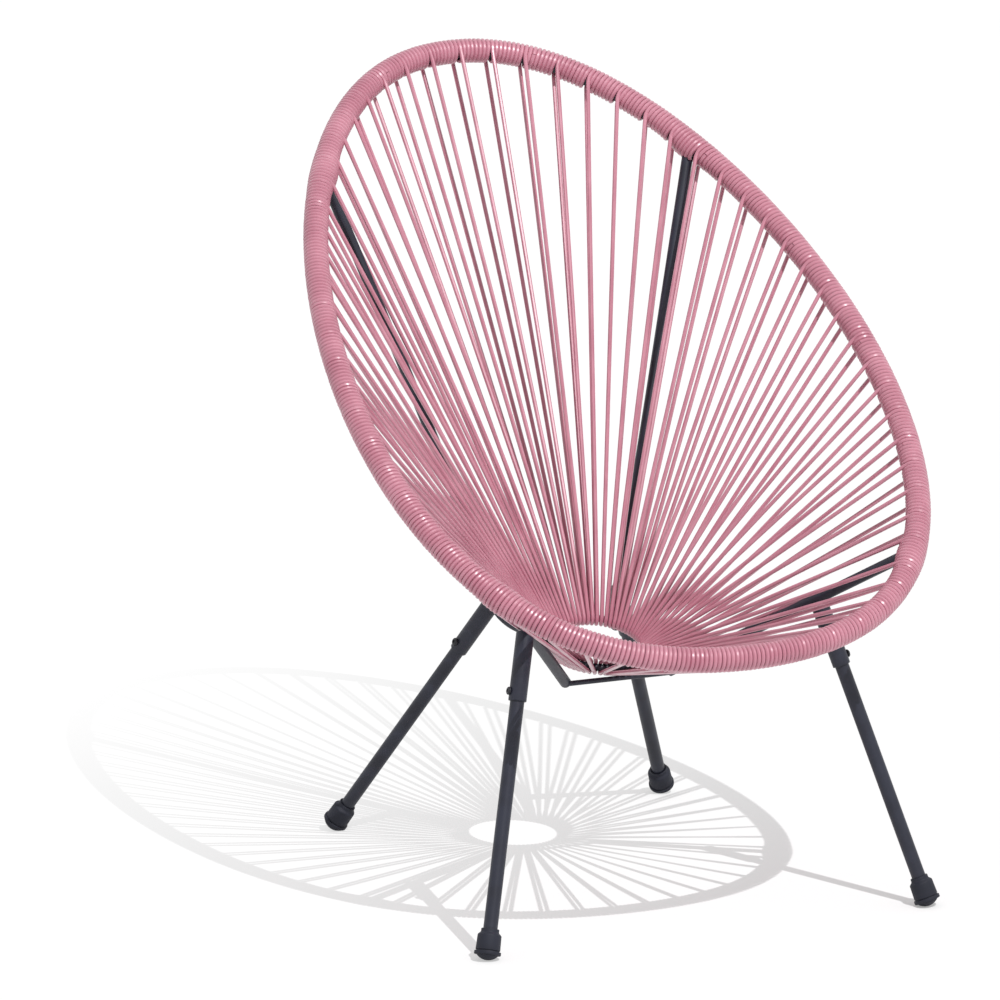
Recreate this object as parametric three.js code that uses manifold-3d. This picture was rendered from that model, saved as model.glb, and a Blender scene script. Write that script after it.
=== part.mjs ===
import * as THREE from 'three';
import { mergeVertices, toCreasedNormals } from 'three/addons/utils/BufferGeometryUtils.js';
import Module from 'manifold-3d';

// A lounge chair: an egg-shaped steel rim and a small ring, joined by cord wound round the rim and
// drawn over the ring, on four spokes with plug-in legs. Sizes are millimetres. The chair faces -Y,
// +Z is up, and the origin is on the floor under the middle of the chair.

// Overall
const overallHeight = 900;
const clearance = 0.3;
const cutOverrun = 40;
const creaseAngle = THREE.MathUtils.degToRad(50);

// Rim: a flat egg outline in a plane that rises towards the back
const rimTilt = THREE.MathUtils.degToRad(34.6);
const rimSideReach = 299.5;
const rimFrontSwell = 39;
const rimSideFlattening = 16;
const rimEndReach = 518;
const rimFrontShift = 13.7;
const rimEndFlattening = 35.5;
const rimTubeRadius = 9.5;
const rimTubeSides = 8;

// Cord and its winding
const cordRadius = 2.2;
const strandSides = 4;
const strandCornerRadius = 2.45;
const strandTurnShare = 0.5;
const anchorCount = 63;
const ribHeight = 1.2;
const ribOffsetShare = 0.25;
const strandLead = 0.3;
const jointSwell = 2.5;
const jointSwellReach = 24;
const loopBendCount = 3;
const gapSampleCount = 400;

// Small ring that the cords are drawn over
const ringRadius = 57;
const ringRodRadius = 4;
const ringTilt = THREE.MathUtils.degToRad(17);
const ringCentreBack = 1;
const ringCentreHeight = 265;
const ringSteps = 42;
const ringRodSides = 8;

// Spokes between the rim and the ring
const spokeRadius = 6.5;
const spokeSides = 12;
const rearJointShare = 0.119;
const frontJointShare = 0.3873;
const rearBowSide = 104;
const rearBowBack = 123.5;
const rearBowRise = 128;
const rearKneeSide = 73;
const rearKneeBack = 116.5;
const rearKneeRise = 7;
const rearKneeReach = 24;
const rearBowSteps = 6;
const rearKneeSteps = 4;
const frontSpokeInset = 6;
const frontSpokeEndSide = 63.3;
const frontSpokeEndForward = 52.4;
const frontSpokeEndDrop = 28.5;

// Crossbar under the front of the ring
const crossbarRadius = 3;
const crossbarAhead = 4;
const crossbarSides = 10;

// Legs, their sleeves, screws and foot caps
const legRadius = 8;
const legWall = 1.5;
const legSides = 16;
const legTopSetback = 24;
const frontLegOutset = 3.5;
const sleeveWall = 1.9;
const frontSleeveShare = 0.62;
const frontSleeveLength = 79.3;
const rearSleeveLength = 76;
const frontFootSide = 273;
const frontFootForward = 304;
const rearFootSide = 214;
const rearFootBack = 284;
const screwShankRadius = 2.5;
const screwHeadRadius = 4.6;
const screwHeadHeight = 3;
const screwHeadCrown = 1.2;
const screwFromHem = 10;
const screwSides = 10;
const capSoleRadius = 16;
const capSoleFlat = 0.85;
const capSoleRim = 13;
const capSoleSide = 2;
const capFlangeRadius = 15;
const capFlangeHeight = 4;
const capGrooveRadius = 13;
const capGrooveHeight = 1.2;
const capBodyRadius = 13.8;
const capBodyTopRadius = 13.3;
const capBodyHeight = 17;
const capShoulderHeight = 3;
const capCollarWall = 1.8;
const capCollarHeight = 4;
const capFloor = 5;
const capSoleSteps = 4;

const cordPaint = { color: 0xd9808f, roughness: 0.42, metalness: 0 };
const steelPaint = { color: 0x2c2e34, roughness: 0.5, metalness: 0.35 };
const capPaint = { color: 0x1f2024, roughness: 0.7, metalness: 0 };
const screwPaint = { color: 0x2a2b2f, roughness: 0.45, metalness: 0.3 };

// Sizes that follow from the ones above
const cordPathRadius = rimTubeRadius + clearance + cordRadius;
const windingRadius = cordPathRadius + cordRadius;
const loopPathRadius = ringRodRadius + clearance + cordRadius;
const rimHalfLength = rimEndReach - rimEndFlattening;
const rimCentreHeight = overallHeight - windingRadius - rimHalfLength * Math.sin(rimTilt);
const sleeveInnerRadius = legRadius + clearance;
const sleeveOuterRadius = sleeveInnerRadius + sleeveWall;
const rearJointAnchor = rearJointShare * anchorCount;
const frontJointAnchor = frontJointShare * anchorCount;
const rearBowHeight = ringCentreHeight + rearBowRise;
const rearKneeHeight = ringCentreHeight + rearKneeRise;
const frontSpokeEndHeight = ringCentreHeight - frontSpokeEndDrop;

const wasm = await Module();
wasm.setup();

const vector = (x, y, z) => new THREE.Vector3(x, y, z);
const xAxis = vector(1, 0, 0);
const yAxis = vector(0, 1, 0);
const rimNormal = vector(0, -Math.sin(rimTilt), Math.cos(rimTilt));
const noMove = new THREE.Matrix4();

// Solids for the cuts and joins

function toSolid(geometry, matrix = noMove) {
  const bare = geometry.clone().applyMatrix4(matrix);
  bare.deleteAttribute('normal');
  bare.deleteAttribute('uv');
  const merged = mergeVertices(bare);
  return new wasm.Manifold(new wasm.Mesh({
    numProp: 3,
    vertProperties: new Float32Array(merged.attributes.position.array),
    triVerts: new Uint32Array(merged.index.array),
  }));
}

function toGeometry(solid) {
  const mesh = solid.getMesh();
  const geometry = new THREE.BufferGeometry();
  geometry.setAttribute('position', new THREE.BufferAttribute(mesh.vertProperties, 3));
  geometry.setIndex(new THREE.BufferAttribute(mesh.triVerts, 1));
  return toCreasedNormals(geometry, creaseAngle);
}

// Skins through rings of points

function ringPoints({ centre, across, up, radius }, sides, turnShare = 0) {
  return Array.from({ length: sides }, (_, i) => {
    const angle = 2 * Math.PI * (i + turnShare) / sides;
    return centre.clone()
      .addScaledVector(across, radius * Math.cos(angle))
      .addScaledVector(up, radius * Math.sin(angle));
  });
}

function signedVolume(points, index) {
  let total = 0;
  for (let i = 0; i < index.length; i += 3) {
    const [a, b, c] = [points[index[i]], points[index[i + 1]], points[index[i + 2]]];
    total += a.dot(b.clone().cross(c));
  }
  return total;
}

function skin(rings, isLoop) {
  const sides = rings[0].length;
  const points = rings.flat();
  const index = [];
  const spans = isLoop ? rings.length : rings.length - 1;
  for (let i = 0; i < spans; i += 1) {
    const next = (i + 1) % rings.length;
    for (let j = 0; j < sides; j += 1) {
      const k = (j + 1) % sides;
      const [a, b] = [i * sides + j, i * sides + k];
      const [c, d] = [next * sides + k, next * sides + j];
      const isShortAcross = points[a].distanceTo(points[c]) < points[b].distanceTo(points[d]);
      index.push(...(isShortAcross ? [a, b, c, a, c, d] : [a, b, d, b, c, d]));
    }
  }
  if (!isLoop) {
    const last = (rings.length - 1) * sides;
    for (let j = 1; j < sides - 1; j += 1) {
      index.push(0, j + 1, j, last, last + j, last + j + 1);
    }
  }
  if (signedVolume(points, index) < 0) index.reverse();
  const geometry = new THREE.BufferGeometry();
  geometry.setFromPoints(points);
  geometry.setIndex(index);
  return toCreasedNormals(geometry, creaseAngle);
}

function roundBar(path, radius, sides, steps) {
  const section = new THREE.Shape().absarc(0, 0, radius, 0, 2 * Math.PI);
  return new THREE.ExtrudeGeometry(section, { extrudePath: path, steps, curveSegments: sides / 2 });
}

// A cylinder's and a lathe's axis is +Y, so this turns +Y onto the line and puts zero at its start.
function alongLine(start, direction) {
  const turn = new THREE.Quaternion().setFromUnitVectors(yAxis, direction.clone().normalize());
  return new THREE.Matrix4().makeRotationFromQuaternion(turn).setPosition(start);
}

// Rim outline and places along it

class RimCurve extends THREE.Curve {
  getPoint(share, target = new THREE.Vector3()) {
    const turn = 2 * Math.PI * share;
    const side = rimSideReach * Math.sin(turn)
      - rimFrontSwell * Math.sin(2 * turn)
      - rimSideFlattening * Math.sin(3 * turn);
    const along = rimEndReach * Math.cos(turn)
      + rimFrontShift * (1 - Math.cos(2 * turn))
      - rimEndFlattening * Math.cos(3 * turn);
    return target.set(
      side,
      along * Math.cos(rimTilt),
      rimCentreHeight + along * Math.sin(rimTilt),
    );
  }
}
const rim = new RimCurve();
rim.arcLengthDivisions = 20 * anchorCount;
const rimShare = (anchor) => ((anchor / anchorCount) % 1 + 1) % 1;
const rimPoint = (anchor) => rim.getPointAt(rimShare(anchor));
const rimTangent = (anchor) => rim.getTangentAt(rimShare(anchor));

// Small ring

const ringCentre = vector(0, ringCentreBack, ringCentreHeight);
const ringBack = vector(0, Math.cos(ringTilt), Math.sin(ringTilt));
const ringNormal = vector(0, -Math.sin(ringTilt), Math.cos(ringTilt));

function ringRadial(angle) {
  return xAxis.clone().multiplyScalar(Math.sin(angle)).addScaledVector(ringBack, Math.cos(angle));
}

function ringPoint(anchor) {
  const angle = 2 * Math.PI * anchor / anchorCount;
  return ringCentre.clone().addScaledVector(ringRadial(angle), ringRadius);
}

function seatRing() {
  const rings = Array.from({ length: ringSteps }, (_, i) => {
    const radial = ringRadial(2 * Math.PI * i / ringSteps);
    const centre = ringCentre.clone().addScaledVector(radial, ringRadius);
    return ringPoints({ centre, across: radial, up: ringNormal, radius: ringRodRadius }, ringRodSides);
  });
  return skin(rings, true);
}

// Sections of the rim have a corner where a strand leaves it on its way to the ring.
function rimPlace(anchor, radius) {
  const centre = rimPoint(anchor);
  const tangent = rimTangent(anchor);
  const up = tangent.clone().cross(ringPoint(anchor).sub(centre)).normalize();
  if (up.dot(rimNormal) < 0) up.negate();
  return { centre, tangent, across: tangent.clone().cross(up), up, radius };
}

// The tube and the bore of its winding are straight between two anchors.
function straightRing(anchor, radius) {
  const low = Math.floor(anchor);
  const next = ringPoints(rimPlace(low + 1, radius), rimTubeSides);
  return ringPoints(rimPlace(low, radius), rimTubeSides)
    .map((point, i) => point.lerp(next[i], anchor - low));
}

function rimTubeSkin(radius) {
  return skin(Array.from({ length: anchorCount }, (_, i) => straightRing(i, radius)), true);
}

// Cord: one hairpin at each anchor, out over the ring and back under it

function hairpinPath(anchor) {
  const { centre: start, up: rimOffset } = rimPlace(anchor);
  const turnCentre = ringPoint(anchor);
  const towardsRing = turnCentre.clone().sub(start).normalize();
  const ringTangent = ringRadial(2 * Math.PI * anchor / anchorCount).cross(ringNormal);
  const ringOffset = ringTangent.clone().cross(towardsRing).normalize();
  if (ringOffset.dot(ringNormal) < 0) ringOffset.negate();
  const inward = towardsRing.clone().addScaledVector(ringTangent, -towardsRing.dot(ringTangent)).normalize();
  const bends = Array.from({ length: loopBendCount }, (_, i) => {
    const angle = Math.PI * (i + 0.5) / loopBendCount;
    const radius = loopPathRadius / Math.cos(Math.PI / loopBendCount / 2);
    return turnCentre.clone()
      .addScaledVector(ringOffset, radius * Math.cos(angle))
      .addScaledVector(inward, radius * Math.sin(angle));
  });
  const lead = start.clone().addScaledVector(towardsRing, strandLead);
  return {
    plane: towardsRing.clone().cross(ringOffset).normalize(),
    points: [
      lead.clone().addScaledVector(rimOffset, cordPathRadius),
      ...bends,
      lead.clone().addScaledVector(rimOffset, -cordPathRadius),
    ],
  };
}

// Each section is the one before it, slid along the cord to the plane that halves the next bend.
function hairpin(anchor) {
  const { plane, points } = hairpinPath(anchor);
  const directions = points.slice(1).map((point, i) => point.clone().sub(points[i]).normalize());
  const across = plane.clone().cross(directions[0]).normalize();
  const up = directions[0].clone().cross(across);
  const section = { centre: points[0], across, up, radius: strandCornerRadius };
  const rings = [ringPoints(section, strandSides, strandTurnShare)];
  directions.forEach((direction, i) => {
    const halving = direction.clone().add(directions[i + 1] ?? direction);
    rings.push(rings[i].map((point) => {
      const travel = points[i + 1].clone().sub(point).dot(halving) / direction.dot(halving);
      return point.clone().addScaledVector(direction, travel);
    }));
  });
  return skin(rings, false);
}

// The strands are closest near the ring, so both are measured there in short steps.
function leastStrandGap() {
  const nearest = new THREE.Vector3();
  let least = Infinity;
  for (let anchor = 0; anchor < anchorCount; anchor += 1) {
    const route = new THREE.CurvePath();
    const { points } = hairpinPath(anchor);
    points.slice(1).forEach((point, i) => route.add(new THREE.LineCurve3(points[i], point)));
    const neighbour = hairpinPath(anchor + 1).points;
    const spans = neighbour.slice(1).map((point, i) => new THREE.Line3(neighbour[i], point));
    for (const point of route.getSpacedPoints(gapSampleCount)) {
      for (const span of spans) {
        span.closestPointToPoint(point, true, nearest);
        least = Math.min(least, nearest.distanceTo(point) - 2 * cordRadius);
      }
    }
  }
  return least;
}

// Spokes

const frontJoint = (side) => {
  const joint = rimPoint(side * frontJointAnchor);
  const inward = rimNormal.clone().cross(rimTangent(side * frontJointAnchor));
  if (inward.dot(joint.clone().sub(ringCentre)) > 0) inward.negate();
  return joint.addScaledVector(inward, frontSpokeInset);
};
const frontSpokeEnd = (side) => vector(side * frontSpokeEndSide, -frontSpokeEndForward, frontSpokeEndHeight);

function frontSpokeLine(side) {
  return new THREE.LineCurve3(frontSpokeEnd(side), frontJoint(side));
}

// The rear spoke bows down to a knee and then runs forward to the underside of the loops on the ring.
function rearSpokePath(side) {
  const anchor = side * rearJointAnchor;
  const joint = rimPoint(anchor);
  const { plane } = hairpinPath(anchor);
  const under = plane.clone().cross(ringPoint(anchor).sub(joint)).normalize();
  if (under.dot(ringNormal) > 0) under.negate();
  const end = ringPoint(anchor).addScaledVector(under, loopPathRadius + cordRadius + clearance + spokeRadius);
  const bow = vector(side * rearBowSide, rearBowBack, rearBowHeight);
  const knee = vector(side * rearKneeSide, rearKneeBack, rearKneeHeight);
  const kneeStart = knee.clone().addScaledVector(bow.clone().sub(knee).normalize(), rearKneeReach);
  const kneeEnd = knee.clone().addScaledVector(end.clone().sub(knee).normalize(), rearKneeReach);
  return [
    { curve: new THREE.QuadraticBezierCurve3(joint, bow, kneeStart), steps: rearBowSteps },
    { curve: new THREE.QuadraticBezierCurve3(kneeStart, knee, kneeEnd), steps: rearKneeSteps },
    { curve: new THREE.LineCurve3(kneeEnd, end), steps: 1 },
  ];
}

const spokePaths = {
  front: (side) => [{ curve: frontSpokeLine(side), steps: 1 }],
  rear: rearSpokePath,
};

// A grown spoke is also longer at both ends, so that it cuts a space all round the real one.
function spokeSolid(kind, side, growth = 0) {
  const path = spokePaths[kind](side);
  const places = path.flatMap(({ curve, steps }) => Array.from({ length: steps }, (_, i) => ({
    centre: curve.getPoint(i / steps),
    tangent: curve.getTangent(i / steps),
  })));
  const last = path[path.length - 1].curve;
  places.push({ centre: last.getPoint(1), tangent: last.getTangent(1) });
  places[0].centre.addScaledVector(places[0].tangent, -growth);
  places[places.length - 1].centre.addScaledVector(last.getTangent(1), growth);
  const rings = places.map(({ centre, tangent }) => {
    const across = xAxis.clone().cross(tangent).normalize();
    const up = tangent.clone().cross(across);
    return ringPoints({ centre, across, up, radius: spokeRadius + growth }, spokeSides);
  });
  return toSolid(skin(rings, false));
}

const rimCutter = toSolid(rimTubeSkin(rimTubeRadius + clearance));
const sides = { left: -1, right: 1 };
const spokeCutters = Object.keys(spokePaths).flatMap((kind) => Object.values(sides)
  .map((side) => ({ kind, side, solid: spokeSolid(kind, side, clearance) })));
const spokeCutter = (kind, side) => spokeCutters
  .find((cutter) => cutter.kind === kind && cutter.side === side);

// The crossbar lies just under the cords that come to the front of the ring, between the front spokes.
function crossbar() {
  const middle = anchorCount / 2;
  const nearPoint = ringPoint(middle);
  const forward = rimPoint(middle).sub(nearPoint).normalize();
  const down = forward.clone().cross(xAxis);
  if (down.z > 0) down.negate();
  const drop = loopPathRadius + cordRadius + clearance + crossbarRadius;
  const centre = nearPoint.addScaledVector(forward, crossbarAhead).addScaledVector(down, drop);
  const ends = Object.values(sides).map((side) => {
    const spoke = frontSpokeLine(side);
    const share = (centre.y - spoke.v1.y) / (spoke.v2.y - spoke.v1.y);
    return vector(spoke.getPoint(share).x - side * spokeRadius / 2, centre.y, centre.z);
  });
  const bar = toSolid(roundBar(new THREE.LineCurve3(...ends), crossbarRadius, crossbarSides, 1));
  return Object.values(sides).reduce((solid, side) => solid.subtract(spokeCutter('front', side).solid), bar);
}

// Winding on the rim: a bored, ribbed sleeve that swells where it goes over a spoke's end

const joints = Object.values(sides).flatMap((side) => [
  { anchor: side * rearJointAnchor, direction: rearSpokePath(side)[0].curve.getTangent(0) },
  { anchor: side * frontJointAnchor, direction: frontSpokeLine(side).getTangent(0).negate() },
]);

function windingRing(anchor, radius) {
  const place = rimPlace(anchor, radius);
  for (const joint of joints) {
    const distance = place.centre.distanceTo(rimPoint(joint.anchor));
    const swell = jointSwell * Math.exp(-((distance / jointSwellReach) ** 2));
    const lean = joint.direction.clone().projectOnPlane(place.tangent).normalize();
    place.centre.addScaledVector(lean, swell);
    place.radius += swell;
  }
  return ringPoints(place, rimTubeSides);
}

// Each bundle of turns is a rib. Two runs of winding meet in a groove, the clearance apart.
function windingSkin(firstAnchor, lastAnchor) {
  const halfGapShare = clearance / 2 * anchorCount / rim.getLength();
  const start = firstAnchor - 1 + ribOffsetShare + halfGapShare;
  const end = lastAnchor + ribOffsetShare - halfGapShare;
  const crownRadius = windingRadius + ribHeight / 2;
  const grooveRadius = windingRadius - ribHeight / 2;
  const boreRadius = rimTubeRadius + clearance;
  const bore = [straightRing(start, boreRadius)];
  const outer = [windingRing(start, grooveRadius)];
  for (let anchor = firstAnchor; anchor <= lastAnchor; anchor += 1) {
    bore.push(straightRing(anchor, boreRadius));
    outer.push(windingRing(anchor - ribOffsetShare, crownRadius));
    outer.push(windingRing(Math.min(anchor + ribOffsetShare, end), grooveRadius));
  }
  bore.push(straightRing(end, boreRadius));
  return skin([...outer, ...bore.reverse()], true);
}

function cordRun(firstAnchor, lastAnchor) {
  let solid = toSolid(windingSkin(firstAnchor, lastAnchor));
  for (let anchor = firstAnchor; anchor <= lastAnchor; anchor += 1) {
    solid = solid.add(toSolid(hairpin(anchor)).subtract(rimCutter));
  }
  return spokeCutters.reduce((rest, cutter) => rest.subtract(cutter.solid), solid);
}

// Legs. Each is shaped on its own axis, from the floor up along +Y, and then set in place.

function tubeGeometry(innerRadius, outerRadius, bottom, top, segments) {
  const profile = [[innerRadius, bottom], [outerRadius, bottom], [outerRadius, top], [innerRadius, top]];
  const points = [...profile, profile[0]].map(([radius, height]) => new THREE.Vector2(radius, height));
  return new THREE.LatheGeometry(points, segments);
}

function capGeometry(pole) {
  const soleEnd = Math.asin(capSoleRim / capSoleRadius);
  const sole = Array.from({ length: capSoleSteps + 1 }, (_, i) => {
    const angle = soleEnd * i / capSoleSteps;
    return [capSoleRadius * Math.sin(angle), pole + capSoleRadius * (1 - Math.cos(angle))];
  });
  const flange = sole[capSoleSteps][1] + capSoleSide;
  const groove = flange + capFlangeHeight;
  const body = groove + capGrooveHeight;
  const shoulder = body + capBodyHeight;
  const collar = shoulder + capShoulderHeight;
  const mouth = collar + capCollarHeight;
  const socketRadius = legRadius + clearance;
  const collarRadius = socketRadius + capCollarWall;
  const profile = [
    ...sole,
    [capSoleRim, flange],
    [capFlangeRadius, flange],
    [capFlangeRadius, groove],
    [capGrooveRadius, groove],
    [capGrooveRadius, body],
    [capBodyRadius, body],
    [capBodyTopRadius, shoulder],
    [collarRadius, collar],
    [collarRadius, mouth],
    [socketRadius, mouth],
    [socketRadius, flange + capFloor],
    [0, flange + capFloor],
  ];
  const geometry = new THREE.LatheGeometry(profile.map(([r, h]) => new THREE.Vector2(r, h)), legSides);
  return { geometry, seat: flange + capFloor };
}

function screwGeometry() {
  const headSeat = sleeveOuterRadius + clearance;
  const tip = legRadius - legWall - clearance;
  const profile = [
    [0, tip],
    [screwShankRadius, tip],
    [screwShankRadius, headSeat],
    [screwHeadRadius, headSeat],
    [screwHeadRadius, headSeat + screwHeadHeight - screwHeadCrown],
    [screwHeadRadius - screwHeadCrown, headSeat + screwHeadHeight],
    [0, headSeat + screwHeadHeight],
  ];
  return new THREE.LatheGeometry(profile.map(([r, h]) => new THREE.Vector2(r, h)), screwSides);
}

function mesh(name, geometry, paint) {
  const piece = new THREE.Mesh(geometry, new THREE.MeshStandardMaterial(paint));
  piece.name = name;
  return piece;
}

function legAssembly(kind, sideName, foot, joint, sleeveLength) {
  const side = sides[sideName];
  const axis = joint.clone().sub(foot);
  const length = axis.length();
  const uprightShare = axis.z / length;
  const frame = alongLine(foot, axis);
  const toFrame = frame.clone().invert();
  const outward = xAxis.clone().multiplyScalar(side).transformDirection(toFrame);
  outward.setY(0).normalize();

  const hem = length - sleeveLength;
  const screwPlace = alongLine(vector(0, hem + screwFromHem, 0), outward);
  const holeLength = sleeveOuterRadius + cutOverrun;
  const holeShape = new THREE.CylinderGeometry(
    screwShankRadius + clearance,
    screwShankRadius + clearance,
    holeLength,
    screwSides,
  ).translate(0, holeLength / 2, 0);
  const screwHole = toSolid(holeShape, screwPlace);

  const spoke = spokeCutter(kind, side).solid.transform(toFrame.elements);
  const sleeve = toSolid(tubeGeometry(sleeveInnerRadius, sleeveOuterRadius, hem, length, legSides))
    .subtract(spoke)
    .subtract(screwHole);

  const pole = (capSoleRadius - capSoleFlat) / uprightShare - capSoleRadius;
  const cap = capGeometry(pole);
  const legTube = tubeGeometry(
    legRadius - legWall,
    legRadius,
    cap.seat + clearance,
    length - legTopSetback,
    legSides,
  );
  const leg = toSolid(legTube).subtract(screwHole);

  // The cap is cut in the chair's own frame, so that its flat lies in the floor.
  const floorSize = 2 * cutOverrun;
  const underFloor = new THREE.BoxGeometry(floorSize, floorSize, floorSize)
    .translate(foot.x, foot.y, -floorSize / 2);
  const capSolid = toSolid(cap.geometry, frame).subtract(toSolid(underFloor));

  const screw = mesh(`leg_screw_${kind}_${sideName}`, screwGeometry(), screwPaint);
  screw.applyMatrix4(screwPlace);
  const onAxis = new THREE.Group();
  onAxis.applyMatrix4(frame);
  onAxis.add(
    mesh(`leg_sleeve_${kind}_${sideName}`, toGeometry(sleeve), steelPaint),
    mesh(`leg_${kind}_${sideName}`, toGeometry(leg), steelPaint),
    screw,
  );
  const cappedLeg = new THREE.Group();
  cappedLeg.add(onAxis, mesh(`foot_cap_${kind}_${sideName}`, toGeometry(capSolid), capPaint));
  return cappedLeg;
}

// Assembly

const group = new THREE.Group();
group.add(mesh('rim_tube', rimTubeSkin(rimTubeRadius), steelPaint));
group.add(mesh('seat_ring', seatRing(), steelPaint));
group.add(mesh('front_crossbar', toGeometry(crossbar()), steelPaint));

for (const [sideName, side] of Object.entries(sides)) {
  for (const kind of Object.keys(spokePaths)) {
    const spoke = spokeSolid(kind, side).subtract(rimCutter);
    group.add(mesh(`${kind}_spoke_${sideName}`, toGeometry(spoke), steelPaint));
  }
  const frontFoot = vector(side * frontFootSide, -frontFootForward, 0);
  const rearFoot = vector(side * rearFootSide, rearFootBack, 0);
  const frontSeat = frontSpokeLine(side).getPoint(frontSleeveShare)
    .addScaledVector(xAxis, side * frontLegOutset);
  const rearSeat = rearSpokePath(side)[0].curve.getPoint(1);
  group.add(legAssembly('front', sideName, frontFoot, frontSeat, frontSleeveLength));
  group.add(legAssembly('rear', sideName, rearFoot, rearSeat, rearSleeveLength));
}

const centreRuns = { rear_middle: [-2, 2], front_middle: [30, 33] };
const sideRuns = {
  rear: [3, 8],
  side_upper: [9, 12],
  side_middle: [13, 16],
  side_lower: [17, 20],
  side_front: [21, 25],
  front: [26, 29],
};
for (const [name, [first, last]] of Object.entries(centreRuns)) {
  group.add(mesh(`cord_${name}`, toGeometry(cordRun(first, last)), cordPaint));
}
for (const [name, [first, last]] of Object.entries(sideRuns)) {
  group.add(mesh(`cord_${name}_right`, toGeometry(cordRun(first, last)), cordPaint));
  group.add(mesh(`cord_${name}_left`, toGeometry(cordRun(-last, -first)), cordPaint));
}

console.log(`least gap between two strands: ${leastStrandGap().toFixed(2)} mm`);

export default group;
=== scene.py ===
import math

import bpy
import numpy as np
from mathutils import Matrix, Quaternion, Vector


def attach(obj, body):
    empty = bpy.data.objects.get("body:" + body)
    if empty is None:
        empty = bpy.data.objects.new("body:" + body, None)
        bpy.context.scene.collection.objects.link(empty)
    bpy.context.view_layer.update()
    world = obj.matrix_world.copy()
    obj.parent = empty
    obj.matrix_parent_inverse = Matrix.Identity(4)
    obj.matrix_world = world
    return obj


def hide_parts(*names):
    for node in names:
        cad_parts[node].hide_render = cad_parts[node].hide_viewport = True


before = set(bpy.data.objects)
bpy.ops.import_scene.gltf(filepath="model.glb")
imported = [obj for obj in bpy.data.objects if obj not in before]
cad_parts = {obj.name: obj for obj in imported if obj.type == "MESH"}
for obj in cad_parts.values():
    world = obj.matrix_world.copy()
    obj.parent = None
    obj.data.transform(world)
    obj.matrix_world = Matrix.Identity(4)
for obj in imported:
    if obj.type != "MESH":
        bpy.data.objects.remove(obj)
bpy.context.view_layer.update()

# The chair's sizes are in millimetres, the same as the solids'. Camera, lamp and floor are in metres.
MM = 0.001
CLEARANCE = 0.3
SIDES = {"left": -1, "right": 1}
X_AXIS = np.array([1.0, 0.0, 0.0])

# Rim: a flat egg outline in a plane that rises towards the back
OVERALL_HEIGHT = 900
SOLID_WINDING_RADIUS = 14.2
RIM_TILT = math.radians(34.6)
RIM_SIDE_REACH, RIM_FRONT_SWELL, RIM_SIDE_FLATTENING = 299.5, 39, 16
RIM_END_REACH, RIM_FRONT_SHIFT, RIM_END_FLATTENING = 518, 13.7, 35.5
RIM_HALF_LENGTH = RIM_END_REACH - RIM_END_FLATTENING
RIM_CENTRE_HEIGHT = OVERALL_HEIGHT - SOLID_WINDING_RADIUS - RIM_HALF_LENGTH * math.sin(RIM_TILT)
RIM_NORMAL = np.array([0.0, -math.sin(RIM_TILT), math.cos(RIM_TILT)])
RIM_SAMPLES = 12601
TANGENT_STEP = 0.02

# Small ring that the cords are drawn over
RING_RADIUS = 57
RING_ROD_RADIUS = 4
RING_STEPS = 120
RING_TILT = math.radians(17)
RING_CENTRE = np.array([0.0, 1.0, 265.0])
RING_BACK = np.array([0.0, math.cos(RING_TILT), math.sin(RING_TILT)])
RING_NORMAL = np.array([0.0, -math.sin(RING_TILT), math.cos(RING_TILT)])

# Cord. An anchor is a place along the rim where a strand leaves, counted from the back.
ANCHORS = 63
CORD_RADIUS = 2.4
SOLID_CORD_RADIUS = 2.2
CORD_SIDES = 8
TURN_RADIUS = 2.62
TURN_PITCH = 5.125
TURNS_BETWEEN = 7.5
TURN_STEPS = 18
WRAP_PATH_RADIUS = 11.85
SEAM_AT = 0.75
JOINT_SWELL = 2.5
JOINT_SWELL_REACH = 24
LOOP_RADIUS = 6.5
UNDER_LOOPS = LOOP_RADIUS + SOLID_CORD_RADIUS + CLEARANCE
LOOP_POINTS = 9
STRAND_LEAD = 5
STRAND_BEND = 6
STRAND_BEND_POINTS = 5
STRAND_POINTS = 9

# Unevenness of the cord
SEED = 11
UNEVEN_KNOTS = 9
TURN_SHIFT = 0.2
TURN_LOW, TURN_HIGH = -0.12, 0.2
STRAND_DRIFT = 0.8
STRAND_SAG = 1.2

# Spokes and crossbar
SPOKE_RADIUS = 6.5
SPOKE_SIDES = 28
SPOKE_INTO_RIM = 8
REAR_JOINT, FRONT_JOINT = 0.119 * ANCHORS, 0.3873 * ANCHORS
FRONT_SPOKE_INSET = 6
FRONT_SPOKE_END = (63.3, -52.4, 236.5)
FRONT_SPOKE_SETBACK = 3
REAR_BOW = (104, 123.5, 393.0)
REAR_KNEE = (73, 116.5, 272.0)
KNEE_LEG_REACH = 24
KNEE_BEND_REACH = 34
KNEE_LIFT = 4.0
BOW_POINTS, KNEE_POINTS = 28, 16
STRAIGHT_POINTS = 5
CROSSBAR_RADIUS = 3
CROSSBAR_SIDES = 20
CROSSBAR_AHEAD = 4
CROSSBAR_INSET = 4

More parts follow.
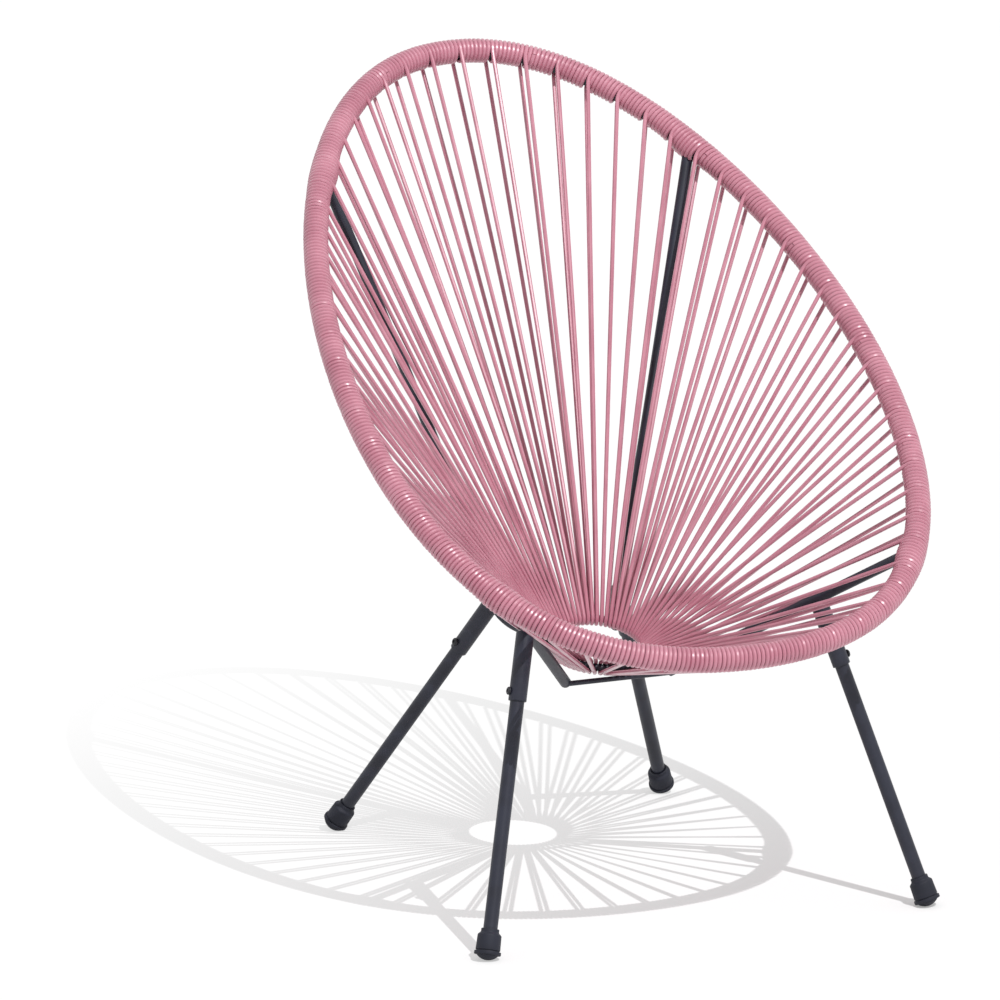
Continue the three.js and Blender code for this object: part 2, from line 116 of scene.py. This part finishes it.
# Legs, sleeves, foot caps and screws
LEG_RADIUS = 8
LEG_TOP_SETBACK = 24
SLEEVE_BORE, SLEEVE_RADIUS = 8.3, 10.2
SLEEVE_TOP_SETBACK = 1.5
SLEEVE_DEPTH = 40
SLEEVE_ROUNDING = 0.7
FRONT_FOOT, REAR_FOOT = (273.0, -304.0, 0.0), (214.0, 284.0, 0.0)
FRONT_LEG_SHARE = 0.62
FRONT_LEG_OUTSET = 3.5
FRONT_SLEEVE_LENGTH, REAR_SLEEVE_LENGTH = 79.3, 76
SOLE_RADIUS, SOLE_RIM, SOLE_FLAT = 16, 13, 0.85
SOLE_POINTS = 12
FLANGE_LEAN_RADIUS = 15.4
FLANGE_EDGE = 0.6
FLANGE_RADIUS, FLANGE_HEIGHT = 15, 4
GROOVE_RADIUS, GROOVE_HEIGHT = 13, 1.2
CAP_RADIUS, CAP_TOP_RADIUS, CAP_HEIGHT = 13.8, 13.3, 17
COLLAR_RADIUS, SHOULDER_HEIGHT, COLLAR_HEIGHT = 10.1, 3, 4
CAP_BORE, CAP_FLOOR = 8.3, 5
CAP_ROUNDING = 0.8
SCREW_FROM_HEM = 10
SCREW_TIP = 6.2
SCREW_SHANK_RADIUS = 2.5
SCREW_HEAD_RADIUS, SCREW_CROWN_RADIUS, SCREW_RECESS_RADIUS = 4.6, 3.4, 1.7
SCREW_SIDE_HEIGHT, SCREW_HEAD_HEIGHT, SCREW_RECESS_LEVEL = 1.8, 3, 1.6
SCREW_SIDES = 24
SCREW_ROUNDING = 0.5

# Finishes
COAT_ROUGHNESS = 0.35
GRAINS_TO_A_PATCH = 40
PATCH_DETAIL, GRAIN_DETAIL = 3, 2
PATCH_LOW, PATCH_HIGH = 0.3, 0.7
ROUGHNESS_SPREAD = 0.08
RELIEF_STRENGTH = 0.6
SMOOTH_UNDER = math.radians(40)

# Camera, floor, world and lamp
CAMERA_PLACE, CAMERA_TARGET = Vector((-4.05798, -8.92943, 2.68607)), Vector((-0.10137, 0.04534, 0.4326))
CAMERA_LENS = 318.753
CAMERA_ROLL = math.radians(-0.154)
FLOOR_REACH = 60
FLOOR_LEVEL = -0.0004
FLOOR_COLOUR = (0.92, 0.92, 0.92, 1)
FLOOR_GLOW = 1.05
FADE_SLOPE = (-0.317, 0.378, 0)
FADE_START, FADE_END = -0.174, 0.446
GLOW_LEAST, GLOW_MOST = 0.30, 0.92
WORLD_LIGHT, WORLD_SEEN = 0.5, 0.5
LAMP_DIRECTION, LAMP_DISTANCE = (0.096, -0.67, 1), 16
LAMP_SIZE = 0.09
LAMP_POWER = 2760

rng = np.random.default_rng(SEED)


def unit(v):
    return v / np.linalg.norm(v)


def on_side(side, place):
    return np.array([side * place[0], place[1], place[2]])


# Camera at the photograph's angle
def make_camera():
    data = bpy.data.cameras.new("camera")
    data.sensor_width = 36
    data.lens = CAMERA_LENS
    data.clip_end = 100
    camera = bpy.data.objects.new("camera", data)
    bpy.context.scene.collection.objects.link(camera)
    camera.location = CAMERA_PLACE
    level = (CAMERA_TARGET - CAMERA_PLACE).to_track_quat("-Z", "Y")
    camera.rotation_euler = (level @ Quaternion((0, 0, 1), CAMERA_ROLL)).to_euler()
    bpy.context.scene.camera = camera


make_camera()


# Materials
def map_range(tree, value, **ends):
    """The value carried from one range to another; the ends are named as from_min, to_max and so on."""
    node = tree.nodes.new("ShaderNodeMapRange")
    for name, end in ends.items():
        node.inputs[name.replace("_", " ").title()].default_value = end
    tree.links.new(value, node.inputs["Value"])
    return node.outputs["Result"]


def material(name, base, dark, rough, specular, grain, bump, coat=0.0):
    """Procedural paint or plastic. Noise mixes base and dark; grain is its scale, bump its height in mm."""
    made = bpy.data.materials.new(name)
    made.use_nodes = True
    tree = made.node_tree
    shader = tree.nodes["Principled BSDF"]
    shader.inputs["Specular IOR Level"].default_value = specular
    shader.inputs["Coat Weight"].default_value = coat
    shader.inputs["Coat Roughness"].default_value = COAT_ROUGHNESS
    place = tree.nodes.new("ShaderNodeTexCoord")

    def noise(scale, detail):
        node = tree.nodes.new("ShaderNodeTexNoise")
        node.inputs["Scale"].default_value = scale
        node.inputs["Detail"].default_value = detail
        tree.links.new(place.outputs["Object"], node.inputs["Vector"])
        return node.outputs["Fac"]

    mix = tree.nodes.new("ShaderNodeMix")
    mix.data_type = "RGBA"
    mix.inputs["A"].default_value = (*dark, 1)
    mix.inputs["B"].default_value = (*base, 1)
    patches = noise(grain / GRAINS_TO_A_PATCH, PATCH_DETAIL)
    tree.links.new(map_range(tree, patches, from_min=PATCH_LOW, from_max=PATCH_HIGH), mix.inputs["Factor"])
    tree.links.new(mix.outputs["Result"], shader.inputs["Base Color"])
    fine = noise(grain, GRAIN_DETAIL)
    polish = map_range(tree, fine, to_min=rough - ROUGHNESS_SPREAD, to_max=rough + ROUGHNESS_SPREAD)
    tree.links.new(polish, shader.inputs["Roughness"])
    relief = tree.nodes.new("ShaderNodeBump")
    relief.inputs["Strength"].default_value = RELIEF_STRENGTH
    relief.inputs["Distance"].default_value = bump * MM
    tree.links.new(fine, relief.inputs["Height"])
    tree.links.new(relief.outputs["Normal"], shader.inputs["Normal"])
    return made


cord_finish = material(
    "cord_vinyl", base=(0.565, 0.228, 0.3), dark=(0.45, 0.15, 0.213),
    rough=0.36, specular=0.6, grain=900, bump=0.06, coat=0.8,
)
steel_finish = material(
    "powder_coat", base=(0.021, 0.024, 0.041), dark=(0.012, 0.013, 0.023),
    rough=0.44, specular=0.40, grain=1400, bump=0.10,
)
cap_finish = material(
    "moulded_rubber", base=(0.018, 0.020, 0.032), dark=(0.010, 0.011, 0.018),
    rough=0.62, specular=0.3, grain=1100, bump=0.12,
)
screw_finish = material(
    "black_screw", base=(0.020, 0.021, 0.028), dark=(0.013, 0.014, 0.018),
    rough=0.4, specular=0.35, grain=1600, bump=0.04,
)


# Meshes
def piece(name, verts, faces, finish, node):
    mesh = bpy.data.meshes.new(name)
    mesh.from_pydata((np.asarray(verts) * MM).tolist(), [], faces)
    mesh.validate()
    mesh.polygons.foreach_set("use_smooth", np.ones(len(mesh.polygons), bool))
    mesh.materials.append(finish)
    made = bpy.data.objects.new(name, mesh)
    bpy.context.scene.collection.objects.link(made)
    mesh.set_sharp_from_angle(angle=SMOOTH_UNDER)
    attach(made, "root")
    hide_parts(node)


def circle(across, up, sides):
    angles = 2 * math.pi * np.arange(sides) / sides
    return np.outer(np.cos(angles), across) + np.outer(np.sin(angles), up)


def sweep(points, radius, sides, closed=False):
    """Vertices and faces of a round bar along the points, its section carried on without twist.

    The radius is one number, or one for each point.
    """
    points = np.asarray(points, float)
    count = len(points)
    if closed:
        tangents = np.roll(points, -1, 0) - np.roll(points, 1, 0)
    else:
        tangents = np.gradient(points, axis=0)
    tangents /= np.linalg.norm(tangents, axis=1)[:, None]
    across = unit(np.cross(tangents[0], [0.12, 0.35, 0.93]))
    rings = []
    for point, tangent, size in zip(points, tangents, np.broadcast_to(radius, count)):
        across = unit(across - tangent * (across @ tangent))
        rings.append(point + size * circle(across, np.cross(tangent, across), sides))
    faces = []
    for i in range(count if closed else count - 1):
        low, high = i * sides, (i + 1) % count * sides
        faces += [(low + j, low + (j + 1) % sides, high + (j + 1) % sides, high + j) for j in range(sides)]
    if not closed:
        faces.append(tuple(range(sides))[::-1])
        faces.append(tuple((count - 1) * sides + j for j in range(sides)))
    return np.concatenate(rings), faces


def lathe(profile, foot, direction, sides=40):
    """A revolved profile of (radius, height) pairs that starts and ends on the axis."""
    axis = unit(direction)
    across = unit(np.cross(axis, [0.3, 0.9, 0.1]))
    ring = circle(across, np.cross(axis, across), sides)
    verts, rows = [], []
    for radius, height in profile:
        rows.append(range(len(verts), len(verts) + (sides if radius else 1)))
        verts += list(foot + axis * height + (ring * radius if radius else np.zeros((1, 3))))
    faces = []
    for low, high in zip(rows, rows[1:]):
        for j in range(sides):
            k = (j + 1) % sides
            corners = [low[j % len(low)], low[k % len(low)], high[k % len(high)], high[j % len(high)]]
            faces.append(tuple(dict.fromkeys(corners)))
    return np.array(verts), faces


def bezier(a, b, c, count):
    share = np.linspace(0, 1, count)[:, None]
    return (1 - share) ** 2 * a + 2 * share * (1 - share) * b + share ** 2 * c


def straight(a, b):
    return [a + (b - a) * share for share in np.linspace(0, 1, STRAIGHT_POINTS)]


def rounded(corners, radius, steps=4):
    """Profile corners, each but the first and last rounded off."""
    corners = [np.array(c, float) for c in corners]
    made = [tuple(corners[0])]
    for before, at, after in zip(corners, corners[1:], corners[2:]):
        cut = min(radius, np.linalg.norm(at - before) / 2.1, np.linalg.norm(after - at) / 2.1)
        start, end = at + unit(before - at) * cut, at + unit(after - at) * cut
        made += [tuple(p) for p in bezier(start, at, end, steps)]
    return [*made, tuple(corners[-1])]


# Rim outline and places along it
def rim_outline(turn):
    side = (
        RIM_SIDE_REACH * np.sin(turn)
        - RIM_FRONT_SWELL * np.sin(2 * turn)
        - RIM_SIDE_FLATTENING * np.sin(3 * turn)
    )
    along = (
        RIM_END_REACH * np.cos(turn)
        + RIM_FRONT_SHIFT * (1 - np.cos(2 * turn))
        - RIM_END_FLATTENING * np.cos(3 * turn)
    )
    height = RIM_CENTRE_HEIGHT + along * math.sin(RIM_TILT)
    return np.stack([side, along * math.cos(RIM_TILT), height], -1)


fine_turns = np.linspace(0, 2 * math.pi, RIM_SAMPLES)
fine_points = rim_outline(fine_turns)
reach = np.concatenate([[0], np.cumsum(np.linalg.norm(np.diff(fine_points, axis=0), axis=1))])
SPACING = reach[-1] / ANCHORS
HALF_TURN = TURN_PITCH / 2 / SPACING


def rim_point(anchor):
    return rim_outline(np.interp(anchor % ANCHORS * SPACING, reach, fine_turns))


def rim_tangent(anchor):
    return unit(rim_point(anchor + TANGENT_STEP) - rim_point(anchor - TANGENT_STEP))


def ring_radial(anchor):
    angle = 2 * math.pi * anchor / ANCHORS
    return X_AXIS * math.sin(angle) + RING_BACK * math.cos(angle)


def ring_point(anchor):
    return RING_CENTRE + ring_radial(anchor) * RING_RADIUS


def rim_place(anchor):
    """Middle of the rim's tube, its direction towards the ring and its upward one."""
    centre, tangent = rim_point(anchor), rim_tangent(anchor)
    up = unit(np.cross(tangent, ring_point(anchor) - centre))
    if up @ RIM_NORMAL < 0:
        up = -up
    inner = np.cross(tangent, up)
    if inner @ (ring_point(anchor) - centre) < 0:
        inner = -inner
    return centre, inner, up


def loop_frame(anchor):
    """Middle of the loop on the ring, its upward offset and its direction away from the rim."""
    centre = ring_point(anchor)
    forward = unit(centre - rim_point(anchor))
    along = np.cross(ring_radial(anchor), RING_NORMAL)
    offset = unit(np.cross(along, forward))
    if offset @ RING_NORMAL < 0:
        offset = -offset
    return centre, offset, unit(forward - along * (forward @ along))


# Spokes
def front_spoke(side):
    """The lower end, below the ring, and the upper one, at the rim."""
    joint = rim_point(side * FRONT_JOINT)
    inward = np.cross(RIM_NORMAL, rim_tangent(side * FRONT_JOINT))
    if inward @ (joint - RING_CENTRE) > 0:
        inward = -inward
    return on_side(side, FRONT_SPOKE_END), joint + inward * FRONT_SPOKE_INSET


def rear_spoke(side):
    """The path from the rim over the knee to the loops on the ring, and where its leg's axis meets it."""
    anchor = side * REAR_JOINT
    joint = rim_point(anchor)
    centre, offset, _ = loop_frame(anchor)
    forward = unit(centre - joint)
    under = -unit(offset - forward * (offset @ forward))
    end = centre + under * (UNDER_LOOPS + SPOKE_RADIUS)
    bow, knee = on_side(side, REAR_BOW), on_side(side, REAR_KNEE)
    upwards = unit(bow - knee)
    knee_start = knee + upwards * KNEE_BEND_REACH
    knee_end = knee + unit(end - knee) * KNEE_BEND_REACH
    bend = knee + np.array([0.0, 0.0, KNEE_LIFT])
    path = [
        *bezier(joint, bow, knee_start, BOW_POINTS),
        *bezier(knee_start, bend, knee_end, KNEE_POINTS)[1:],
        end,
    ]
    return np.array(path), knee + upwards * KNEE_LEG_REACH


joints = []
for side in SIDES.values():
    rear_path, _ = rear_spoke(side)
    low, high = front_spoke(side)
    joints.append((rim_point(side * REAR_JOINT), unit(rear_path[1] - rear_path[0])))
    joints.append((rim_point(side * FRONT_JOINT), unit(low - high)))


# Cord: turns on the rim and, at each anchor, a strand out over the ring and back under it
turn_shift = rng.uniform(-TURN_SHIFT, TURN_SHIFT, (ANCHORS, UNEVEN_KNOTS))
turn_height = rng.uniform(TURN_LOW, TURN_HIGH, (ANCHORS, UNEVEN_KNOTS))
strand_drift = rng.uniform(-STRAND_DRIFT, STRAND_DRIFT, (ANCHORS, 2))
strand_sag = rng.uniform(0.0, STRAND_SAG, (ANCHORS, 2))


def wrap_point(anchor, angle, lift=0.0):
    """A point of the winding, which swells over the spokes' ends."""
    centre, inner, up = rim_place(anchor)
    tangent = rim_tangent(anchor)
    radius = WRAP_PATH_RADIUS + lift
    for joint, direction in joints:
        swell = JOINT_SWELL * math.exp(-((np.linalg.norm(centre - joint) / JOINT_SWELL_REACH) ** 2))
        lean = unit(direction - tangent * (direction @ tangent))
        centre = centre + lean * swell
        radius += swell
    return centre + radius * (inner * math.cos(angle) + up * math.sin(angle))


def wraps(anchor):
    """From the strand that came back at this anchor to the one that leaves at the anchor before it."""
    count = int(TURNS_BETWEEN * TURN_STEPS)
    row = anchor % ANCHORS
    knots = range(UNEVEN_KNOTS)
    points = []
    for i in range(count + 1):
        share = i / count
        turn = share * TURNS_BETWEEN
        ease = math.sin(math.pi * share) ** 0.5 if 0 < share < 1 else 0
        shift = np.interp(turn, knots, turn_shift[row]) * ease / SPACING
        lift = np.interp(turn, knots, turn_height[row]) * ease
        at = anchor - HALF_TURN - (1 - HALF_TURN) * share + shift
        points.append(wrap_point(at, -math.pi / 2 - 2 * math.pi * turn, lift))
    return points


def strand(anchor):
    """From the top of the rim to the ring, round its inner side, and back to the rim's underside."""
    centre, offset, forward = loop_frame(anchor)
    along = np.cross(offset, forward)
    row = anchor % ANCHORS
    ends = []
    for way, level in ((0, 1), (1, -1)):
        at = anchor - (HALF_TURN if way else 0)
        start = wrap_point(at, level * math.pi / 2)
        inner = rim_place(at)[1]
        meet = centre + offset * LOOP_RADIUS * level
        bend = start + inner * STRAND_LEAD
        run = list(bezier(start, bend, bend + unit(meet - bend) * STRAND_BEND, STRAND_BEND_POINTS)[1:])
        taut_from = run[-1]
        for share in np.linspace(0, 1, STRAND_POINTS)[1:-1]:
            wave = math.sin(math.pi * share) * (1 - share)
            shift = along * strand_drift[row, way] - RIM_NORMAL * strand_sag[row, way]
            run.append(taut_from + (meet - taut_from) * share + shift * wave)
        ends.append(run)
    arc = [
        centre + LOOP_RADIUS * (offset * math.cos(turn) + forward * math.sin(turn))
        for turn in np.linspace(0, math.pi, LOOP_POINTS)
    ]
    return [*ends[0], *arc, *ends[1][::-1]]


# First and last anchor of each run of the cord
RUNS = {"rear_middle": (-2, 2), "front_middle": (30, 33)}
for name, (first, last) in {
    "rear": (3, 8),
    "side_upper": (9, 12),
    "side_middle": (13, 16),
    "side_lower": (17, 20),
    "side_front": (21, 25),
    "front": (26, 29),
}.items():
    RUNS[f"{name}_right"] = (first, last)
    RUNS[f"{name}_left"] = (-last, -first)

# Two runs meet at this step of the turns between their strands, where the solids' runs meet too.
SEAM = int(TURNS_BETWEEN * TURN_STEPS * (SEAM_AT - HALF_TURN) / (1 - HALF_TURN))
for name, (first, last) in RUNS.items():
    path = wraps(last + 1)[SEAM:]
    radii = [TURN_RADIUS] * len(path)
    for anchor in range(last, first - 1, -1):
        run = strand(anchor)
        turns = wraps(anchor) if anchor > first else wraps(anchor)[: SEAM + 1]
        path += run + turns
        radii += [CORD_RADIUS] * len(run) + [TURN_RADIUS] * len(turns)
    verts, faces = sweep(path, radii, CORD_SIDES)
    piece(f"laid_cord_{name}", verts, faces, cord_finish, f"cord_{name}")


# Steel: ring, spokes and crossbar
def bar(name, path, radius, sides, node, closed=False):
    verts, faces = sweep(path, radius, sides, closed)
    piece(name, verts, faces, steel_finish, node)


ring_path = [ring_point(ANCHORS * i / RING_STEPS) for i in range(RING_STEPS)]
bar("ring_rod", ring_path, RING_ROD_RADIUS, 16, "seat_ring", closed=True)
for name, side in SIDES.items():
    low, high = front_spoke(side)
    along = unit(high - low)
    path = straight(low + along * FRONT_SPOKE_SETBACK, high - along * SPOKE_INTO_RIM)
    bar(f"straight_spoke_{name}", path, SPOKE_RADIUS, SPOKE_SIDES, f"front_spoke_{name}")
    path, _ = rear_spoke(side)
    path[0] = path[0] + unit(path[1] - path[0]) * SPOKE_INTO_RIM
    bar(f"bowed_spoke_{name}", path, SPOKE_RADIUS, SPOKE_SIDES, f"rear_spoke_{name}")

near = ring_point(ANCHORS / 2)
ahead = unit(rim_point(ANCHORS / 2) - near)
down = np.cross(ahead, X_AXIS)
if down[2] > 0:
    down = -down
bar_centre = near + ahead * CROSSBAR_AHEAD + down * (UNDER_LOOPS + CROSSBAR_RADIUS)
bar_ends = []
for side in SIDES.values():
    low, high = front_spoke(side)
    share = (bar_centre[1] - low[1]) / (high[1] - low[1])
    end_side = (low + (high - low) * share)[0] - side * CROSSBAR_INSET
    bar_ends.append(np.array([end_side, bar_centre[1], bar_centre[2]]))
bar("cross_rod", straight(*bar_ends), CROSSBAR_RADIUS, CROSSBAR_SIDES, "front_crossbar")


# Legs: sleeve, foot cap, tube and screw on one axis
def build_leg(kind, name, foot, seat, sleeve_length):
    axis = unit(seat - foot)
    length = np.linalg.norm(seat - foot)
    upright = axis[2]
    hem, top = length - sleeve_length, length - SLEEVE_TOP_SETBACK
    walls = rounded([
        (0, top), (SLEEVE_RADIUS, top), (SLEEVE_RADIUS, hem),
        (SLEEVE_BORE, hem), (SLEEVE_BORE, hem + SLEEVE_DEPTH), (0, hem + SLEEVE_DEPTH),
    ], SLEEVE_ROUNDING)
    verts, faces = lathe(walls, foot, axis)
    piece(f"socket_{kind}_{name}", verts, faces, steel_finish, f"leg_sleeve_{kind}_{name}")

    # The domed sole stands on the floor, and the leaning flange above it comes down to the floor too.
    pole = (SOLE_RADIUS - SOLE_FLAT) / upright - SOLE_RADIUS
    flange = FLANGE_LEAN_RADIUS * math.tan(math.acos(upright))
    sole_end = min(
        math.asin(SOLE_RIM / SOLE_RADIUS),
        math.acos(1 - (flange - FLANGE_EDGE - pole) / SOLE_RADIUS),
    )
    sole = [
        (SOLE_RADIUS * math.sin(a), pole + SOLE_RADIUS * (1 - math.cos(a)))
        for a in np.linspace(0, sole_end, SOLE_POINTS)
    ]
    groove = flange + FLANGE_HEIGHT
    body = groove + GROOVE_HEIGHT
    shoulder = body + CAP_HEIGHT
    collar = shoulder + SHOULDER_HEIGHT
    mouth = collar + COLLAR_HEIGHT
    floor = flange + CAP_FLOOR
    sides = rounded([
        sole[-1], (sole[-1][0], flange), (FLANGE_RADIUS, flange), (FLANGE_RADIUS, groove),
        (GROOVE_RADIUS, groove), (GROOVE_RADIUS, body), (CAP_RADIUS, body), (CAP_TOP_RADIUS, shoulder),
        (COLLAR_RADIUS, collar), (COLLAR_RADIUS, mouth), (CAP_BORE, mouth), (CAP_BORE, floor), (0, floor),
    ], CAP_ROUNDING)
    verts, faces = lathe([*sole[:-1], *sides], foot, axis)
    verts[:, 2] = np.maximum(verts[:, 2], 0)
    piece(f"boot_{kind}_{name}", verts, faces, cap_finish, f"foot_cap_{kind}_{name}")

    bottom, top = floor + CLEARANCE, length - LEG_TOP_SETBACK
    verts, faces = lathe([(0, bottom), (LEG_RADIUS, bottom), (LEG_RADIUS, top), (0, top)], foot, axis)
    piece(f"leg_tube_{kind}_{name}", verts, faces, steel_finish, f"leg_{kind}_{name}")

    outward = X_AXIS * SIDES[name]
    outward = unit(outward - axis * (outward @ axis))
    head = SLEEVE_RADIUS + CLEARANCE
    crown, recess = head + SCREW_HEAD_HEIGHT, head + SCREW_RECESS_LEVEL
    button = rounded([
        (0, SCREW_TIP), (SCREW_SHANK_RADIUS, SCREW_TIP), (SCREW_SHANK_RADIUS, head),
        (SCREW_HEAD_RADIUS, head), (SCREW_HEAD_RADIUS, head + SCREW_SIDE_HEIGHT),
        (SCREW_CROWN_RADIUS, crown), (SCREW_RECESS_RADIUS, crown),
        (SCREW_RECESS_RADIUS, recess), (0, recess),
    ], SCREW_ROUNDING)
    verts, faces = lathe(button, foot + axis * (hem + SCREW_FROM_HEM), outward, SCREW_SIDES)
    piece(f"screw_{kind}_{name}", verts, faces, screw_finish, f"leg_screw_{kind}_{name}")


for name, side in SIDES.items():
    low, high = front_spoke(side)
    seat = low + (high - low) * FRONT_LEG_SHARE + X_AXIS * side * FRONT_LEG_OUTSET
    build_leg("front", name, on_side(side, FRONT_FOOT), seat, FRONT_SLEEVE_LENGTH)
    _, seat = rear_spoke(side)
    build_leg("rear", name, on_side(side, REAR_FOOT), seat, REAR_SLEEVE_LENGTH)

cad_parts["rim_tube"].data.materials.clear()
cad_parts["rim_tube"].data.materials.append(steel_finish)


# Floor, world and light
def where_seen(tree, scale):
    """The scale socket for rays that see the surface directly, in a gloss or through glass, and 0 else."""
    path = tree.nodes.new("ShaderNodeLightPath")
    seen = path.outputs["Is Camera Ray"]
    for other in ("Is Glossy Ray", "Is Transmission Ray"):
        either = tree.nodes.new("ShaderNodeMath")
        either.operation = "MAXIMUM"
        tree.links.new(seen, either.inputs[0])
        tree.links.new(path.outputs[other], either.inputs[1])
        seen = either.outputs["Value"]
    product = tree.nodes.new("ShaderNodeMath")
    product.operation = "MULTIPLY"
    tree.links.new(seen, product.inputs[0])
    if isinstance(scale, bpy.types.NodeSocket):
        tree.links.new(scale, product.inputs[1])
    else:
        product.inputs[1].default_value = scale
    return product.outputs["Value"]


def glow_share(tree):
    """The glow's share of the floor. It grows to the back and the left, so that the shadow fades there."""
    place = tree.nodes.new("ShaderNodeTexCoord")
    slope = tree.nodes.new("ShaderNodeVectorMath")
    slope.operation = "DOT_PRODUCT"
    slope.inputs[1].default_value = FADE_SLOPE
    tree.links.new(place.outputs["Object"], slope.inputs[0])
    return map_range(
        tree, slope.outputs["Value"],
        from_min=FADE_START, from_max=FADE_END, to_min=GLOW_LEAST, to_max=GLOW_MOST,
    )


def make_floor():
    mesh = bpy.data.meshes.new("floor")
    corners = [(-1, -1), (1, -1), (1, 1), (-1, 1)]
    places = [(x * FLOOR_REACH, y * FLOOR_REACH, FLOOR_LEVEL) for x, y in corners]
    mesh.from_pydata(places, [], [(0, 1, 2, 3)])
    floor = bpy.data.objects.new("floor", mesh)
    bpy.context.scene.collection.objects.link(floor)
    made = bpy.data.materials.new("floor_white")
    made.use_nodes = True
    tree = made.node_tree
    shader = tree.nodes["Principled BSDF"]
    shader.inputs["Base Color"].default_value = FLOOR_COLOUR
    shader.inputs["Roughness"].default_value = 1
    shader.inputs["Specular IOR Level"].default_value = 0
    glow = tree.nodes.new("ShaderNodeEmission")
    glow.inputs["Strength"].default_value = FLOOR_GLOW
    mix = tree.nodes.new("ShaderNodeMixShader")
    tree.links.new(where_seen(tree, glow_share(tree)), mix.inputs["Fac"])
    tree.links.new(shader.outputs["BSDF"], mix.inputs[1])
    tree.links.new(glow.outputs["Emission"], mix.inputs[2])
    tree.links.new(mix.outputs["Shader"], tree.nodes["Material Output"].inputs["Surface"])
    mesh.materials.append(made)


def make_world():
    """Plain light from all round, and white where the world itself is seen."""
    world = bpy.data.worlds.new("studio")
    bpy.context.scene.world = world
    world.use_nodes = True
    tree = world.node_tree
    background = tree.nodes["Background"]
    background.inputs["Color"].default_value = (1, 1, 1, 1)
    level = tree.nodes.new("ShaderNodeMath")
    level.operation = "ADD"
    tree.links.new(where_seen(tree, WORLD_SEEN), level.inputs[0])
    level.inputs[1].default_value = WORLD_LIGHT
    tree.links.new(level.outputs["Value"], background.inputs["Strength"])


def make_lamp():
    """A far round lamp, whose distance spreads the shadow as much as in the photograph."""
    data = bpy.data.lights.new("key", "AREA")
    data.shape = "DISK"
    data.size = LAMP_SIZE
    data.energy = LAMP_POWER
    lamp = bpy.data.objects.new("key", data)
    bpy.context.scene.collection.objects.link(lamp)
    lamp.location = Vector(LAMP_DIRECTION) * LAMP_DISTANCE
    lamp.rotation_euler = (-lamp.location).to_track_quat("-Z", "Y").to_euler()


make_floor()
make_world()
make_lamp()
bpy.context.scene.view_settings.view_transform = "Standard"
